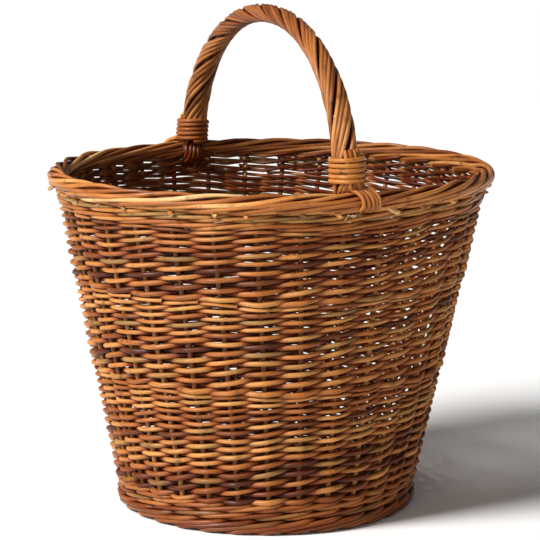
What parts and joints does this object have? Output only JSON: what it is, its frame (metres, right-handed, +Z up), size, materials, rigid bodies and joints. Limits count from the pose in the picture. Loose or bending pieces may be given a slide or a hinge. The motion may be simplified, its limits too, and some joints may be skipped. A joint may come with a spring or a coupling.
{
  "type": "market basket",
  "caption": "Round, deep willow market basket that flares to a rolled border, with a fixed roped bow handle bound at both feet.",
  "frame": {"origin": "centre of the foot, on the surface that the basket stands on", "axes": "+Z up; the bow handle stands in the Y-Z plane, with its feet at the front (-Y) and the back (+Y); +X is to the right"},
  "size_m": [0.4599, 0.4688, 0.5125],
  "materials": {
    "base_willow": "satin",
    "stake_willow": "satin",
    "siding_willow": "satin",
    "border_willow": "satin",
    "handle_willow": "satin",
    "binding_willow": "satin"
  },
  "bodies": {
    "root": {"base_sticks_pierced": "base_willow", "base_sticks_threaded": "base_willow", "base_tie": "base_willow", "base_weave": "base_willow", "side_stakes": "stake_willow", "upsett_four_rod_round": "siding_willow", "upsett_three_rod_rounds": "siding_willow", "siding_lower": "siding_willow", "siding_middle": "siding_willow", "siding_upper": "siding_willow", "top_wale": "siding_willow", "rolled_border": "border_willow", "handle_bow": "handle_willow", "handle_roping": "handle_willow", "foot_binding_front": "binding_willow", "foot_binding_back": "binding_willow", "border_tails_front": "border_willow", "border_tails_back": "border_willow"}
  },
  "joints": []
}
